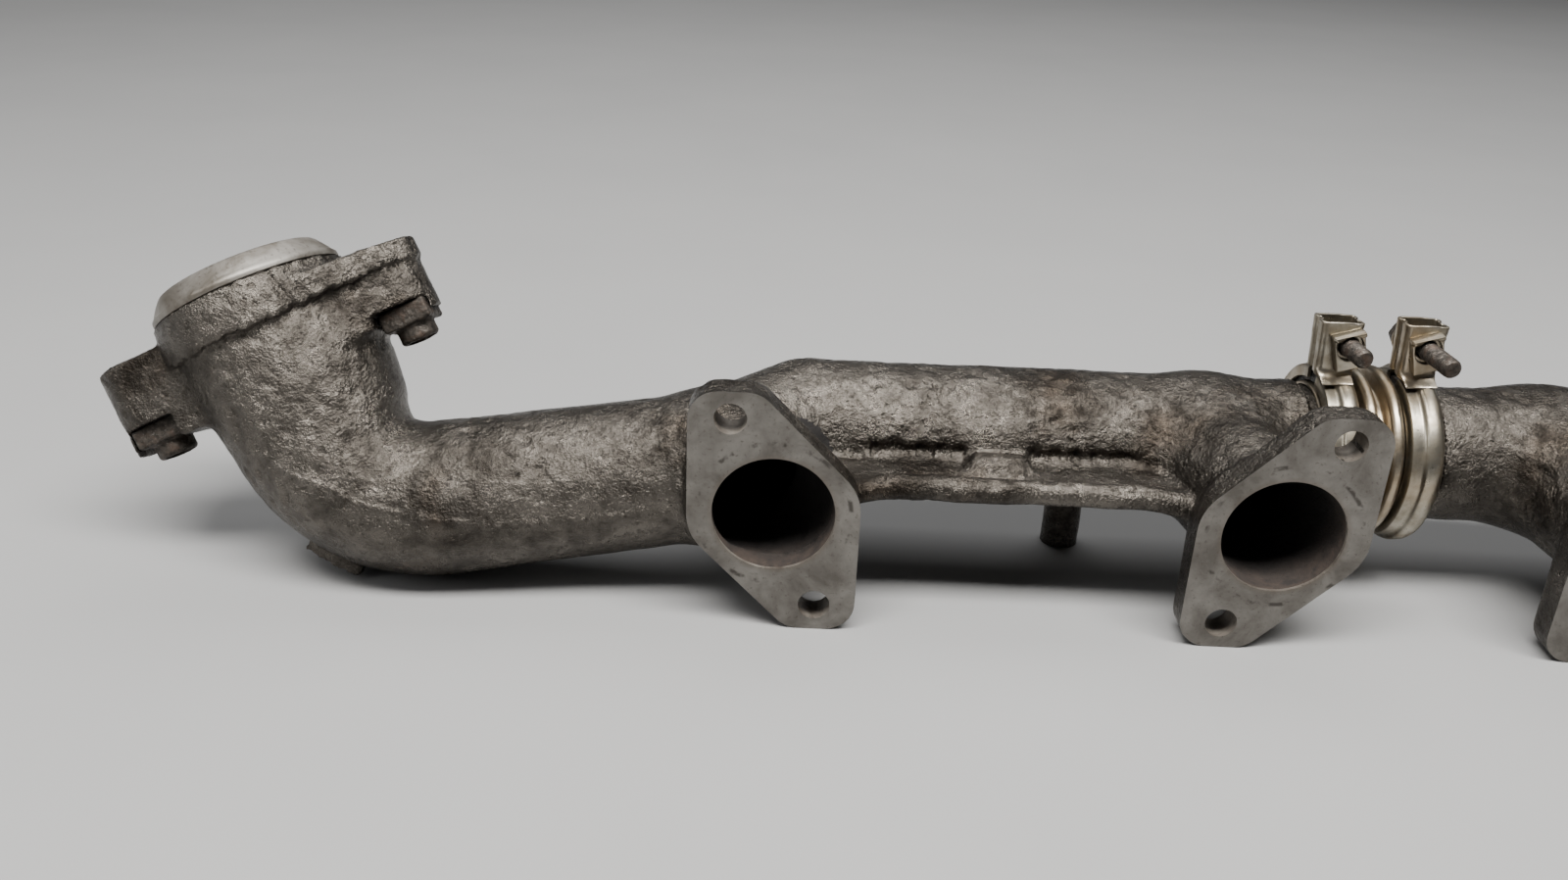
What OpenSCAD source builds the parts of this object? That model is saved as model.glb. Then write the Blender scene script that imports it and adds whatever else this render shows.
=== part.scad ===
// Two-piece cast-iron exhaust manifold for one bank of a V8 engine.
// Frame: origin at the centre of port 1 on the machined head face,
// +X along the bank from the outlet end to the closed end,
// +Y away from the cylinder head, +Z up as the part stands on its flange feet.

/* [Head flanges] */
// Bore of each exhaust port
port_d = 36; // [34:0.5:37]
// Distance from port 1 to port 2, and from port 3 to port 4
pair_pitch = 148; // [144:1:154]
// Distance from port 2 to port 3
middle_pitch = 109.6; // [106:0.2:112]
// Thickness of each head flange
flange_t = 10; // [8:0.5:12]
// Half of the flange's width along the bank
flange_half_w = 25.4; // [25:0.2:27]
// Half of the flange's height
flange_half_h = 38.2; // [37.6:0.2:40]
// Sideways offset of each stud hole from the port's centre
stud_x = 13.1; // [12.5:0.1:14]
// Vertical offset of each stud hole from the port's centre
stud_z = 29.8; // [29:0.1:30.5]
// Diameter of each stud hole
stud_hole_d = 9.5; // [8.5:0.1:10]

/* [Log pipe] */
// Outer diameter of the log pipe between the ports
log_d = 43.4; // [42:0.2:45]
// Distance of the log pipe's axis behind the head face
log_y = 55; // [53:0.5:58]
// Height of the log pipe's axis over the port centres
log_z = 4.5; // [3:0.5:6]
// Wall thickness of the castings
wall = 4.5; // [4:0.25:5]

/* [Outlet elbow] */
// Outer diameter of the outlet pipe between port 1 and the bend
outlet_pipe_d = 47; // [46:0.5:48]
// Length of the outlet pipe from port 1's junction to the start of the bend
outlet_run = 83.9; // [82:0.5:86]
// Angle of the bend
bend_angle = 72; // [66:1:78]
// Centre-line radius of the bend
bend_r = 39; // [38:0.5:41]
// Length of the flared neck between the bend and the seat
neck_length = 45; // [42:1:48]
// Outer diameter of the bend
bend_d = 48.6; // [47.6:0.2:49]
// Outer radius of the outlet flange's round body
outlet_body_r = 30; // [29:0.25:31]
// Distance of each outlet bolt from the outlet's axis
outlet_bolt_r = 42; // [41:0.5:43]
// Diameter of each outlet bolt hole
outlet_hole_d = 11; // [10.5:0.25:11.5]
// Thickness of the upper outlet ear
ear_t = 24; // [23:0.5:25]
// Thickness of the lower outlet ear
lower_ear_t = 28; // [27:0.5:29]

/* [Expansion joint] */
// Position of the expansion joint's middle along the bank
joint_x = 186; // [185.6:0.2:186.6]
// Distance of each clamp from the joint's middle
clamp_offset = 12.6; // [12.4:0.1:13]
// Outer diameter of each clamp band
clamp_d = 57.6; // [57:0.2:59]
// Width of each clamp band
clamp_w = 10; // [9.8:0.1:10.2]
// Outer diameter of the bellows' convolutions
bellows_d = 55; // [53:0.5:56]
// Diameter of the clamp screws
screw_d = 6; // [5.5:0.1:6.2]

/* [Hidden] */
$fn = 64;

port_1_x = 0;
port_2_x = port_1_x + pair_pitch;
port_3_x = port_2_x + middle_pitch;
port_4_x = port_3_x + pair_pitch;
front_clamp_x = joint_x - clamp_offset;
rear_clamp_x = joint_x + clamp_offset;

log_r = log_d / 2;
log_bore_r = log_r - wall;
port_r = port_d / 2;
runner_r = port_r + 3;
runner_bore_r = port_r - 0.5;
// Each runner leans towards the outlet on its way to the log pipe
runner_lean = 12;
runner_start_y = flange_t - 2;
// The straight log pipe begins just past port 1
log_start_x = 8;
log_end_x = port_4_x + 8;
// Places along the bank where one casting is drawn as several sections
cut_1_x = port_1_x + 28;
cut_2_x = port_2_x - 36;
cut_3_x = port_3_x + 28;
cut_4_x = port_4_x - 36;
// Distance along the outlet pipe of the cut beside port 1
pipe_cut = 26;
outlet_pipe_r = outlet_pipe_d / 2;
bend_tube_r = bend_d / 2;
ear_top = -3.5;
ear_end_r = 11.6;
nut_recess = 4;
nut_w = 15.4;
nut_thread_d = 8.5;
neck_bore_r = outlet_body_r - 6;

// Spigots that hold the bellows' cuffs
spigot_r = 20.5;
spigot_step_x = 20.5;
spigot_end_x = 4.6;
cuff_gap = 0.05;
cuff_t = 0.9;
band_leg_r = spigot_r + cuff_t + 2 * cuff_gap;

// Spacing of the convolutions from the joint's middle, and half of their width
crest_offset = 3.8;
crest_half = 1.9;

// Clamp heads: the screw lies across the bank over each band, a little askew.
// Local +Y of a head is the screw's axis, and its origin is over the log pipe's axis.
screw_z = 42.8;
front_screw_x = front_clamp_x + 0.3;
rear_screw_x = rear_clamp_x - 1;
front_saddle_shift = -2;
rear_saddle_shift = 0;
head_yaw = 3;
saddle_w = 13.8;
saddle_front = -7.6;
saddle_back = 1.4;
sheet_t = 1.2;
washer_t = 1.2;
nut_plate_t = 2.6;
nut_plate_w = 9.6;
nut_plate_roll = -15;
front_screw_tip = -20.5;
rear_screw_tip = -25.5;
screw_seat = saddle_back + washer_t + 0.04;
bearing_gap = 0.02;

// Frame of the outlet pipe: local +Z follows the gas from port 1 to the bend
junction = [-20, 32, -0.5];
outlet_pitch = 98.7;
outlet_yaw = 183.7;
bend_roll = -160;
ear_twist = 0;

cast_iron = "#6d655c";
machined_iron = "#9a958d";
stainless = "#b5ada0";
dark_steel = "#4c4038";

// ---------- Shared shapes ----------

// Points along a rounded corner of a polygon, from its own corner and both neighbours
function corner_arc(before, corner, after, r, steps = 8) =
    let (
        u = (before - corner) / norm(before - corner),
        v = (after - corner) / norm(after - corner),
        half = acos(u * v) / 2,
        middle = (u + v) / norm(u + v),
        centre = corner + middle * r / sin(half),
        start = corner + u * r / tan(half),
        stop = corner + v * r / tan(half),
        a0 = atan2(start.y - centre.y, start.x - centre.x),
        a1 = atan2(stop.y - centre.y, stop.x - centre.x),
        turn = (a1 - a0 + 540) % 360 - 180
    )
    [for (i = [0 : steps]) centre + r * [cos(a0 + turn * i / steps), sin(a0 + turn * i / steps)]];

// A polygon whose corners are rounded, each with its own radius
module rounded_polygon(corners, radii) {
    n = len(corners);
    polygon([
        for (i = [0 : n - 1])
            each corner_arc(corners[(i + n - 1) % n], corners[i], corners[(i + 1) % n], radii[i])
    ]);
}

// Lays a drawing in the XZ plane and gives it a depth along +Y
module upright(depth) {
    rotate([90, 0, 0])
        mirror([0, 0, 1])
            linear_extrude(height = depth)
                children();
}

// Cylinder along +Y
module bar_y(r, length) {
    rotate([-90, 0, 0])
        cylinder(r = r, h = length);
}

// Cylinder along +X on the log pipe's axis, between two places along the bank
module log_bar(r, from_x, to_x) {
    translate([from_x, log_y, log_z])
        rotate([0, 90, 0])
            cylinder(r = r, h = to_x - from_x);
}

// Turns a drawing of radius and place along the bank about the log pipe's axis
module turned_about_log(at_x) {
    translate([at_x, log_y, log_z])
        rotate([0, 90, 0])
            rotate_extrude($fn = 96)
                children();
}

// ---------- Head flanges and runners ----------

// Outline of one head flange; side is 1 where the upper stud hole is on the right, else -1
module flange_outline(side) {
    w = flange_half_w;
    h = flange_half_h;
    corners = [[w, h], [4.8, h], [-w, 7.5], [-w, -h], [-4.8, -h], [w, -7.5]];
    scale_x = side > 0 ? 0 : 1;
    mirror([scale_x, 0])
        rounded_polygon(corners, [9, 9, 16, 9, 9, 16]);
}

module head_flange(x, side) {
    translate([x, 0, 0])
        upright(flange_t)
            flange_outline(side);
}

module stud_holes(x, side) {
    for (end = [-1, 1])
        translate([x + side * end * stud_x, -1, end * stud_z])
            bar_y(stud_hole_d / 2, flange_t + 2);
}

// Round bar from one point to another, with a ball at its start
module bar_between(from, to, r) {
    span = to - from;
    translate(from)
        rotate([0, acos(span.z / norm(span)), atan2(span.y, span.x)]) {
            cylinder(r = r, h = norm(span));
            sphere(r = r);
        }
}

// Round body that runs from a head flange back to the log pipe
module runner(x, r) {
    bar_between([x, runner_start_y, 0], [x - runner_lean, log_y, log_z], r);
}

// Port 1 turns straight into the outlet pipe
module first_runner(r) {
    bar_between([port_1_x, runner_start_y, 0], junction, r);
}

// Space in front of the machined head face at one port
module head_face_cut(x) {
    translate([x - 50, -30, -60])
        cube([100, 30, 120]);
}

// Straight passage through one head flange
module port_mouth(x) {
    translate([x, -1, 0])
        bar_y(port_r, flange_t);
}

// ---------- Frames along the outlet pipe ----------

module outlet_pipe_frame() {
    translate(junction)
        rotate([0, outlet_pitch, outlet_yaw])
            children();
}

module bend_frame() {
    outlet_pipe_frame()
        translate([0, 0, outlet_run])
            rotate([0, 0, bend_roll])
                children();
}

// Local +Z is the outlet's axis and local +X points to the upper ear
module neck_frame() {
    bend_frame()
        translate([bend_r, 0, 0])
            rotate([0, bend_angle, 0])
                translate([-bend_r, 0, 0])
                    rotate([0, 0, ear_twist])
                        children();
}

module seat_frame() {
    neck_frame()
        translate([0, 0, neck_length])
            children();
}

// Stretch of a round cone whose radius goes from r_start to r_end over a length
module cone_stretch(r_start, r_end, length, from_z, to_z) {
    slope = (r_end - r_start) / length;
    translate([0, 0, from_z])
        cylinder(r1 = r_start + slope * from_z, r2 = r_start + slope * to_z, h = to_z - from_z);
}

// Stretch of the outlet pipe; inset is zero outside and the wall's thickness inside
module pipe_stretch(inset, from_z, to_z) {
    outlet_pipe_frame()
        cone_stretch(outlet_pipe_r - inset, bend_tube_r - inset, outlet_run, from_z, to_z);
}

module junction_ball(r) {
    outlet_pipe_frame()
        rotate([0, 0, 90])
            sphere(r = r + 0.5);
}

// ---------- Castings ----------

// Plan of the outlet flange's upper half: the round body runs straight out into the upper ear
module upper_ear_plan() {
    lean = acos((outlet_body_r - ear_end_r) / outlet_bolt_r);
    near_r = outlet_body_r - 0.2;
    far_r = ear_end_r - 0.1;
    circle(r = outlet_body_r);
    translate([outlet_bolt_r, 0])
        circle(r = ear_end_r);
    polygon([
        [near_r * cos(lean), -near_r * sin(lean)],
        [outlet_bolt_r + far_r * cos(lean), -far_r * sin(lean)],
        [outlet_bolt_r + far_r * cos(lean), far_r * sin(lean)],
        [near_r * cos(lean), near_r * sin(lean)],
    ]);
}

// Plan of the lower ear, a tongue that stands out of the round body
module lower_ear_plan() {
    translate([-outlet_bolt_r, 0])
        circle(r = ear_end_r);
    translate([-outlet_bolt_r, -ear_end_r])
        square([outlet_bolt_r, 2 * ear_end_r]);
}

module outlet_flange() {
    seat_frame() {
        translate([0, 0, -14])
            cylinder(r = outlet_body_r, h = 14);
        translate([0, 0, ear_top - ear_t])
            linear_extrude(height = ear_t)
                upper_ear_plan();
        translate([0, 0, ear_top - lower_ear_t])
            linear_extrude(height = lower_ear_t)
                lower_ear_plan();
    }
}

// Bolt holes through the ears, each with a slot underneath that keeps its nut from turning
module outlet_bolt_holes() {
    seat_frame()
        for (end = [-1, 1])
            translate([end * outlet_bolt_r, 0, ear_top - lower_ear_t - 1]) {
                cylinder(d = outlet_hole_d, h = lower_ear_t + 2);
                translate([-nut_w / 2 - 0.3, -20, 0])
                    cube([nut_w + 0.6, 40, lower_ear_t - ear_t + nut_recess + 1]);
            }
}

// Log pipe stretch that joins port 1's junction to the straight log
module log_link(r) {
    bar_between(junction, [log_start_x, log_y, log_z], r);
    translate([log_start_x, log_y, log_z])
        rotate([-90, 0, 0])
            rotate([0, 90, 0])
                sphere(r = r + 0.5);
}

// Stretch of the flat web between two ports, from the runners back to the log pipe
module web(from_x, to_x) {
    web_y = flange_t + 1;
    translate([from_x, web_y, 2])
        cube([to_x - from_x, log_y - web_y, 4.7]);
}

// Round boss under the log pipe; the casting stands on it and on its flange feet
module support_boss() {
    translate([97.5, 63, -flange_half_h])
        cylinder(r = 6.4, h = flange_half_h + log_z - 8);
}

module log_end_ball(r) {
    translate([log_end_x, log_y, log_z])
        sphere(r = r);
}

// Everything removed at one port
module port_cuts(x, side) {
    runner(x, runner_bore_r);
    port_mouth(x);
    stud_holes(x, side);
    head_face_cut(x);
}

// Each casting is one piece of iron; it is drawn as sections that meet face to face.

// The outlet end: flared neck with the flange that the front pipe bolts to
module outlet_collar() {
    color(cast_iron)
        difference() {
            union() {
                neck_frame()
                    cylinder(r1 = bend_tube_r, r2 = outlet_body_r - 1, h = neck_length - 14);
                outlet_flange();
            }
            neck_frame()
                cone_stretch(bend_tube_r - wall, neck_bore_r, neck_length + 1, -1, neck_length + 1);
            outlet_bolt_holes();
            seat_recess();
        }
}

module outlet_bend() {
    color(cast_iron)
        bend_frame()
            translate([bend_r, 0, 0])
                mirror([1, 0, 0])
                    rotate([90, 0, 0])
                        rotate_extrude(angle = bend_angle, $fn = 96)
                            translate([bend_r, 0])
                                difference() {
                                    circle(r = bend_tube_r);
                                    circle(r = bend_tube_r - wall);
                                }
}

module outlet_pipe() {
    color(cast_iron)
        difference() {
            pipe_stretch(0, pipe_cut, outlet_run);
            pipe_stretch(wall, pipe_cut - 1, outlet_run + 1);
        }
}

// Port 1's head flange and the knot where its runner, the log pipe and the outlet pipe meet
module port_1_branch() {
    color(cast_iron)
        difference() {
            union() {
                log_bar(log_r, log_start_x, cut_1_x);
                log_link(log_r);
                pipe_stretch(0, 0, pipe_cut);
                junction_ball(outlet_pipe_r);
                first_runner(runner_r);
                head_flange(port_1_x, -1);
                web(port_1_x + 12, cut_1_x);
            }
            log_bar(log_bore_r, log_start_x, cut_1_x + 3);
            log_link(log_bore_r);
            pipe_stretch(wall, 0, pipe_cut + 1);
            junction_ball(outlet_pipe_r - wall);
            first_runner(runner_bore_r);
            port_mouth(port_1_x);
            stud_holes(port_1_x, -1);
            head_face_cut(port_1_x);
        }
}

// Straight log pipe between two ports, with its web
module log_stretch(from_x, to_x) {
    difference() {
        union() {
            log_bar(log_r, from_x, to_x);
            web(from_x, to_x);
            children();
        }
        log_bar(log_bore_r, from_x - 1, to_x + 1);
    }
}

module front_log_pipe() {
    color(cast_iron)
        log_stretch(cut_1_x, cut_2_x)
            support_boss();
}

module rear_log_pipe() {
    color(cast_iron)
        log_stretch(cut_3_x, cut_4_x);
}

// Head flange, runner and log pipe at port 2, ending in the front spigot of the joint
module port_2_branch() {
    color(cast_iron)
        difference() {
            union() {
                log_bar(log_r, cut_2_x, joint_x - spigot_step_x);
                log_bar(spigot_r, port_2_x, joint_x - spigot_end_x);
                runner(port_2_x, runner_r);
                head_flange(port_2_x, 1);
                web(cut_2_x, port_2_x - 12);
            }
            log_bar(log_bore_r, cut_2_x - 1, joint_x);
            port_cuts(port_2_x, 1);
        }
}

// Head flange, runner and log pipe at port 3, starting with the rear spigot of the joint
module port_3_branch() {
    color(cast_iron)
        difference() {
            union() {
                log_bar(log_r, joint_x + spigot_step_x, cut_3_x);
                log_bar(spigot_r, joint_x + spigot_end_x, port_3_x);
                runner(port_3_x, runner_r);
                head_flange(port_3_x, 1);
                web(port_3_x + 12, cut_3_x);
            }
            log_bar(log_bore_r, joint_x, cut_3_x + 1);
            port_cuts(port_3_x, 1);
        }
}

// Head flange and runner at port 4, with the log pipe's closed round end
module port_4_branch() {
    color(cast_iron)
        difference() {
            union() {
                log_bar(log_r, cut_4_x, log_end_x);
                log_end_ball(log_r);
                runner(port_4_x, runner_r);
                head_flange(port_4_x, -1);
                web(cut_4_x, port_4_x - 12);
            }
            log_bar(log_bore_r, cut_4_x - 1, log_end_x);
            log_end_ball(log_bore_r);
            port_cuts(port_4_x, -1);
        }
}

// ---------- Outlet fittings ----------

// Round-shouldered seat that the front pipe's flare clamps onto
module outlet_seat_ring() {
    color(machined_iron)
        seat_frame()
            difference() {
                union() {
                    cylinder(r = outlet_body_r - 0.8, h = 2.5);
                    intersection() {
                        translate([0, 0, -14])
                            sphere(r = 33, $fn = 128);
                        cylinder(r = outlet_body_r - 0.8, h = 8);
                    }
                    translate([0, 0, -4])
                        cylinder(r = neck_bore_r + 2.35, h = 5);
                }
                translate([0, 0, -5])
                    cylinder(r = neck_bore_r - 0.5, h = 15);
            }
}

module seat_recess() {
    seat_frame()
        translate([0, 0, -4])
            cylinder(r = neck_bore_r + 2.4, h = 5);
}

// Captive nut under one ear: a square shoulder in the slot and a narrower round end
module outlet_nut(end) {
    shoulder_t = 6.4;
    tail = 5;
    color(dark_steel)
        seat_frame()
            translate([end * outlet_bolt_r, 0, ear_top - ear_t + nut_recess - 0.02])
                difference() {
                    union() {
                        translate([0, 0, -shoulder_t / 2])
                            cube([nut_w, nut_w, shoulder_t], center = true);
                        translate([0, 0, -shoulder_t - tail])
                            cylinder(r = 6, h = tail + 1);
                    }
                    translate([0, 0, -shoulder_t - tail - 1])
                        cylinder(d = nut_thread_d, h = shoulder_t + tail + 2);
                }
}

module upper_outlet_nut() {
    outlet_nut(1);
}

module lower_outlet_nut() {
    outlet_nut(-1);
}

// ---------- Expansion joint ----------

// Thin inner tube that carries the gas across the gap
module slip_liner() {
    liner_r = log_bore_r - 0.06;
    color(stainless)
        difference() {
            log_bar(liner_r, joint_x - 17, joint_x + 17);
            log_bar(liner_r - 1, joint_x - 18, joint_x + 18);
        }
}

module bellows() {
    crest_r = bellows_d / 2;
    cuff_r = spigot_r + cuff_gap;
    crests = [-crest_offset, crest_offset];
    color(stainless)
        turned_about_log(joint_x) {
            difference() {
                union() {
                    for (crest = crests)
                        translate([crest_r - crest_half, crest])
                            circle(r = crest_half, $fn = 32);
                    for (crest = crests)
                        translate([cuff_r, crest - crest_half])
                            square([crest_r - crest_half - cuff_r, 2 * crest_half]);
                    translate([cuff_r, -clamp_offset - clamp_w / 2])
                        square([cuff_t, 2 * clamp_offset + clamp_w]);
                }
                for (crest = crests)
                    translate([crest_r - crest_half, crest])
                        circle(r = crest_half - 0.7, $fn = 32);
                for (crest = crests)
                    translate([cuff_r - 1, crest - crest_half + 0.7])
                        square([crest_r - crest_half - cuff_r + 1, 2 * crest_half - 1.4]);
            }
        }
}

// Ring that fills the space between the bellows' cuff and the clamp band
module seal_ring(at_x) {
    inner_r = band_leg_r;
    color(dark_steel)
        turned_about_log(at_x)
            translate([inner_r, -3.2])
                square([3.4, 6.4]);
}

module front_seal_ring() {
    seal_ring(front_clamp_x);
}

module rear_seal_ring() {
    seal_ring(rear_clamp_x);
}

// Half section of the clamp band: two legs with a rounded crown between them
module band_section(thickness) {
    crown_r = clamp_d / 2;
    leg_r = band_leg_r;
    half = clamp_w / 2;
    rounded_polygon(
        [
            [leg_r, -half], [crown_r, -half], [crown_r, half], [leg_r, half],
            [leg_r, half - thickness], [crown_r - thickness, half - thickness],
            [crown_r - thickness, thickness - half], [leg_r, thickness - half]
        ],
        [0.4, 3, 3, 0.4, 0.4, 1.6, 1.6, 0.4]
    );
}

module clamp_band(at_x) {
    color(stainless)
        difference() {
            turned_about_log(at_x)
                band_section(1.4);
            translate([at_x - 10, log_y - 4, log_z])
                cube([20, 8, clamp_d]);
        }
}

module front_clamp_band() {
    clamp_band(front_clamp_x);
}

module rear_clamp_band() {
    clamp_band(rear_clamp_x);
}

// ---------- Clamp heads ----------

// Local frame of the clamp head whose screw is at one place along the bank
module head_frame(screw_x) {
    translate([screw_x, log_y, screw_z])
        rotate([0, 0, head_yaw])
            children();
}

// Front view of a saddle, narrower at the band; inset leaves the folded walls
module tapered_section(low_z, top_z, inset) {
    top_half = saddle_w / 2 - inset;
    low_half = top_half - 1.6;
    polygon([[-low_half, low_z], [low_half, low_z], [top_half, top_z], [-top_half, top_z]]);
}

// Open-topped folded box, tapered towards the band, that stands on one end of the band
module saddle(screw_x, shift, from_y, to_y, top_z) {
    low_z = -20;
    color(stainless)
        difference() {
            head_frame(screw_x)
                difference() {
                    translate([shift, from_y, 0])
                        upright(to_y - from_y)
                            tapered_section(low_z, top_z, 0);
                    translate([shift, from_y + sheet_t, 0])
                        upright(to_y - from_y - 2 * sheet_t)
                            tapered_section(low_z - 1, top_z + 1, sheet_t);
                    translate([0, from_y - 1, 0])
                        bar_y(screw_d / 2 + 0.3, to_y - from_y + 2);
                }
            log_bar(clamp_d / 2 + 0.05, screw_x - 20, screw_x + 20);
        }
}

// Saddle that the nut plate bears on
module nut_saddle(screw_x, shift) {
    saddle(screw_x, shift, saddle_front, -2.6, 7.2);
}

// Saddle that the screw's head bears on
module head_saddle(screw_x, shift) {
    saddle(screw_x, shift, -2.2, saddle_back, 4);
}

// Threaded plate with a lip along its upper edge
module nut_plate(screw_x) {
    plate_low = -7.4;
    plate_high = 4.4;
    lip_t = 1.4;
    back = saddle_front - bearing_gap;
    color(stainless)
        head_frame(screw_x)
            rotate([0, nut_plate_roll, 0])
                difference() {
                    union() {
                        translate([-nut_plate_w / 2, back - nut_plate_t, plate_low])
                            cube([nut_plate_w, nut_plate_t, plate_high - plate_low]);
                        translate([-nut_plate_w / 2, back - nut_plate_t - lip_t, plate_high - lip_t])
                            cube([nut_plate_w, nut_plate_t + lip_t, lip_t]);
                    }
                    translate([0, back - nut_plate_t - 5, 0])
                        bar_y(screw_d / 2 + 0.05, nut_plate_t + 10);
                }
}

// Hexagon-headed clamp screw, head away from the cylinder head
module clamp_screw(screw_x, tip) {
    head_h = 3.8;
    head_r = 5.6;
    color(dark_steel)
        head_frame(screw_x) {
            translate([0, tip, 0])
                bar_y(screw_d / 2, screw_seat - tip);
            translate([0, screw_seat, 0])
                bar_y(head_r, head_h, $fn = 6);
        }
}

module clamp_washer(screw_x) {
    washer_r = 6;
    color(stainless)
        head_frame(screw_x)
            translate([0, saddle_back + bearing_gap, 0])
                difference() {
                    bar_y(washer_r, washer_t);
                    translate([0, -1, 0])
                        bar_y(screw_d / 2 + 0.2, washer_t + 2);
                }
}

module front_nut_saddle() {
    nut_saddle(front_screw_x, front_saddle_shift);
}

module front_head_saddle() {
    head_saddle(front_screw_x, front_saddle_shift);
}

module front_nut_plate() {
    nut_plate(front_screw_x);
}

module front_screw() {
    clamp_screw(front_screw_x, front_screw_tip);
}

module front_washer() {
    clamp_washer(front_screw_x);
}

module rear_nut_saddle() {
    nut_saddle(rear_screw_x, rear_saddle_shift);
}

module rear_head_saddle() {
    head_saddle(rear_screw_x, rear_saddle_shift);
}

module rear_nut_plate() {
    nut_plate(rear_screw_x);
}

module rear_screw() {
    clamp_screw(rear_screw_x, rear_screw_tip);
}

module rear_washer() {
    clamp_washer(rear_screw_x);
}

outlet_collar();
outlet_bend();
outlet_pipe();
port_1_branch();
front_log_pipe();
port_2_branch();
port_3_branch();
rear_log_pipe();
port_4_branch();
slip_liner();
bellows();
front_seal_ring();
rear_seal_ring();
front_clamp_band();
front_nut_saddle();
front_head_saddle();
front_nut_plate();
front_screw();
front_washer();
rear_clamp_band();
rear_nut_saddle();
rear_head_saddle();
rear_nut_plate();
rear_screw();
rear_washer();
outlet_seat_ring();
upper_outlet_nut();
lower_outlet_nut();
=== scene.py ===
"""Two-piece cast-iron exhaust manifold on a pale floor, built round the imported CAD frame.

The castings and the small forged or folded pieces are meshed from signed distance fields, because
their edges are all rounded and run into each other. Thin turned pieces are meshed from profiles.
Lengths are in millimetres in the row frame until a mesh is stored, and in metres after that.
"""
import math

import bpy
import numpy as np
from mathutils import Matrix, Vector


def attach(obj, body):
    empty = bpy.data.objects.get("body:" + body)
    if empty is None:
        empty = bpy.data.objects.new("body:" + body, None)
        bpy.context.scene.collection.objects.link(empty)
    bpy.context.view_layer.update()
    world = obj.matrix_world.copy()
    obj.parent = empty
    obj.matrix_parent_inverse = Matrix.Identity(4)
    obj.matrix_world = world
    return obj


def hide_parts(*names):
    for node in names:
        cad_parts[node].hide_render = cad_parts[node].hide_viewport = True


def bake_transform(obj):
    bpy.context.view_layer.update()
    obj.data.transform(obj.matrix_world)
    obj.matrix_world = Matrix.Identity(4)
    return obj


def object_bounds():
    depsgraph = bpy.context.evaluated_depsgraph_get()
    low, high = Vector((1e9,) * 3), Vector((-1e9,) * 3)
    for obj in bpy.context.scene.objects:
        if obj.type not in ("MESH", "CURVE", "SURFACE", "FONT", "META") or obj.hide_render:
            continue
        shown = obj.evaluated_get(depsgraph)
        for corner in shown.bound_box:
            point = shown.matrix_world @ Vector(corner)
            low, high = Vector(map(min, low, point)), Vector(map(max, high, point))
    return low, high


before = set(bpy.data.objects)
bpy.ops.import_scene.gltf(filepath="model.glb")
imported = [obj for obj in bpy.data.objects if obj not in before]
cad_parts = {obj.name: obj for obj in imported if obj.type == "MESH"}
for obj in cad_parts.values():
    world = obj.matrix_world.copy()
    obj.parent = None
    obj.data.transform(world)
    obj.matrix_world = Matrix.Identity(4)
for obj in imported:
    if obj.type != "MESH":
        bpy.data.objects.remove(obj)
CAD_LOW, CAD_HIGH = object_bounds()
MM = 0.001

# ---------- Sizes that follow the CAD ----------

PORT_X = [0.0, 148.0, 257.6, 405.6]
PORT_SIDE = [-1, 1, 1, -1]
PORT_R = 18.0
SOOT_RING_R = 22.6
STUD = (13.1, 29.8)
STUD_R = 4.75
FLANGE_T = 10.0
FLANGE_W = 25.4
FLANGE_H = 38.2
LOG_R = 21.7
LOG_Y = 55.0
LOG_Z = 4.5
WALL = 4.5
RUNNER_R = 21.2
RUNNER_LEAN = 12.0
LOG_START = np.array([8.0, LOG_Y, LOG_Z])

JUNCTION = np.array([-20.0, 32.0, -0.5])
OUTLET_RUN = 83.9
BEND_R = 39.0
BEND_ANGLE = 72.0
NECK = 45.0
OUTLET_PITCH = 98.7
OUTLET_YAW = 183.7
BEND_ROLL = -160.0
OUTLET_BODY_R = 30.0
NECK_BORE_R = 24.0
BOLT_R = 42.0
BOLT_HOLE_R = 5.5
EAR_R = 11.6
EAR_TOP = -3.5
EAR_T = 24.0
LOWER_EAR_T = 28.0

JOINT_X = 186.0
CLAMP_OFFSET = 12.6
CLAMP_R = 28.8
SPIGOT_R = 20.3
SPIGOT_STEP = 20.5
SPIGOT_END = 4.6
CREST_R = 27.5
CREST_OFFSET = 3.8
CUFF_R = 20.55
SCREW_Z = 42.8
HEAD_YAW = 3.0
PLATE_ROLL = -15.0

FLOOR_CLEARANCE = 0.05

# ---------- Mesh detail ----------

CAST_STEP = 1.0
FINE_STEP = 0.28
# What a field shrinks by before its relief is added, to stay inside the CAD solid
CAST_SHRINK = 0.1
FINE_SHRINK = 0.013
# Height of the support boss's foot
LOWEST_Z = -38.15


def shift(v):
    return np.array(Matrix.Translation(Vector(v)))


def turn(axis, degrees):
    return np.array(Matrix.Rotation(math.radians(degrees), 4, axis))


PIPE_FRAME = shift(JUNCTION) @ turn("Z", OUTLET_YAW) @ turn("Y", OUTLET_PITCH)
BEND_FRAME = PIPE_FRAME @ shift([0, 0, OUTLET_RUN]) @ turn("Z", BEND_ROLL)
NECK_FRAME = BEND_FRAME @ shift([BEND_R, 0, 0]) @ turn("Y", BEND_ANGLE) @ shift([-BEND_R, 0, 0])
SEAT_FRAME = NECK_FRAME @ shift([0, 0, NECK])
LOG_FRAME = shift([0, LOG_Y, LOG_Z]) @ turn("Y", 90)
HERE = np.eye(4)
LAID = turn("X", -90)


# ---------- Noise ----------

LATTICE_SIZE = 48
LATTICE = np.random.default_rng(7).random((LATTICE_SIZE,) * 3).astype(np.float32) * 2 - 1


def corner_offset(c):
    """Which way corner c of a grid cell lies from its first corner."""
    return np.array([(c >> k) & 1 for k in range(3)])


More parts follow.
